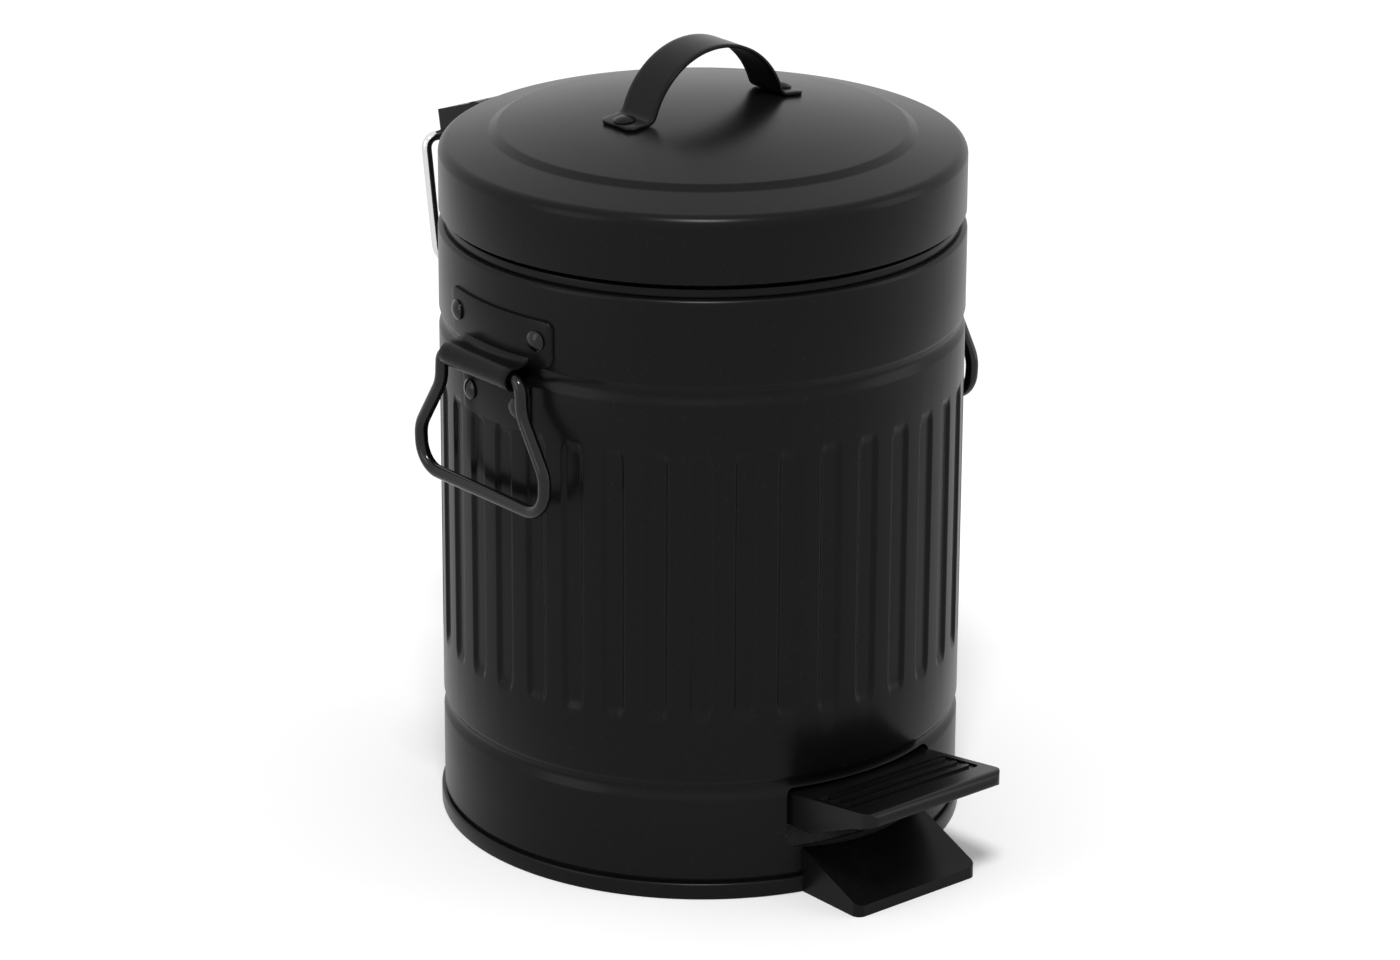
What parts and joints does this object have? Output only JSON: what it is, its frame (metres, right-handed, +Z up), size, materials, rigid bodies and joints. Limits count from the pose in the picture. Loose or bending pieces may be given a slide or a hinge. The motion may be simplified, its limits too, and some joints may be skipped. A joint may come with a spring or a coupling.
{
  "type": "pedal bin",
  "caption": "Round fluted steel pedal bin with a hinged domed lid, strap handle, side bail handles, rear carry handle, foot pedal linkage and lift-out inner bucket.",
  "frame": {"origin": "on the can's axis at floor level", "axes": "+Z up along the can's axis; the pedal points to -Y, the lid's hinge is at +Y, the side bails are at -X and +X"},
  "size_m": [0.2212, 0.2747, 0.3057],
  "materials": {
    "black_coat": "matte black powder coat on steel",
    "black_gloss": "glossy black enamel on steel wire and rivets",
    "black_plastic": "satin black moulded plastic",
    "pedal_plastic": "semi-gloss black moulded plastic",
    "bucket_plastic": "matte black moulded plastic",
    "zinc": "bright zinc plated steel",
    "steel_wire": "bright drawn wire",
    "chrome_wire": "polished chrome plate on wire"
  },
  "bodies": {
    "bin": {"body_shell": "black_coat", "base_ring": "black_plastic", "toe_plate": "black_plastic", "toe_plate_screws": "zinc", "bottom_plate": "black_coat", "collar_ring": "black_plastic", "inner_bucket": "bucket_plastic", "bucket_bail": "steel_wire", "hinge_housing": "black_plastic", "housing_screws": "zinc", "hinge_pin": "zinc", "left_bracket": "black_coat", "left_bracket_rivets": "black_gloss", "right_bracket": "black_coat", "right_bracket_rivets": "black_gloss", "rod_guides": "black_plastic", "pedal_bracket": "zinc", "pedal_bracket_rivets": "zinc", "pedal_pivot_pin": "zinc"},
    "lid": {"lid_shell": "black_coat", "lid_strap_handle": "black_coat", "lid_handle_rivets": "black_gloss", "hinge_leaf": "black_plastic", "hinge_leaf_screws": "zinc", "lid_crank": "zinc", "crank_pin": "zinc"},
    "pedal": {"pedal_pad": "pedal_plastic", "pedal_lever": "zinc", "pedal_screws": "zinc"},
    "rod": {"lift_rod": "zinc", "rod_clips": "zinc"},
    "left_grip": {"left_bail": "black_gloss"},
    "right_grip": {"right_bail": "black_gloss"},
    "carry_handle": {"rear_carry_handle": "chrome_wire"}
  },
  "joints": [
    {"name": "lid_hinge", "type": "hinge", "parent": "bin", "child": "lid", "pos_m": [0, 0.11, 0.253], "axis": [-1, 0, 0], "range_deg": [0, 75]},
    {"name": "pedal_press", "type": "hinge", "parent": "bin", "child": "pedal", "pos_m": [0, -0.046, 0.026], "axis": [1, 0, 0], "range_deg": [0, 8.58]},
    {"name": "rod_lift", "type": "slide", "parent": "bin", "child": "rod", "axis": [0, 0, 1], "range_m": [0, 0.02071]},
    {"name": "left_bail_swing", "type": "hinge", "parent": "bin", "child": "left_grip", "pos_m": [-0.106, 0, 0.2002], "axis": [0, 1, 0], "range_deg": [-3, 100]},
    {"name": "right_bail_swing", "type": "hinge", "parent": "bin", "child": "right_grip", "pos_m": [0.106, 0, 0.2002], "axis": [0, -1, 0], "range_deg": [-3, 100]},
    {"name": "rear_handle_swing", "type": "hinge", "parent": "bin", "child": "carry_handle", "pos_m": [0, 0.1304, 0.2435], "axis": [1, 0, 0], "range_deg": [-8, 120]}
  ],
  "couplings": [
    {"joint": "pedal_press", "follows": "lid_hinge", "ratio": 0.11427},
    {"joint": "rod_lift", "follows": "lid_hinge", "m_per_rad": 0.015812}
  ]
}
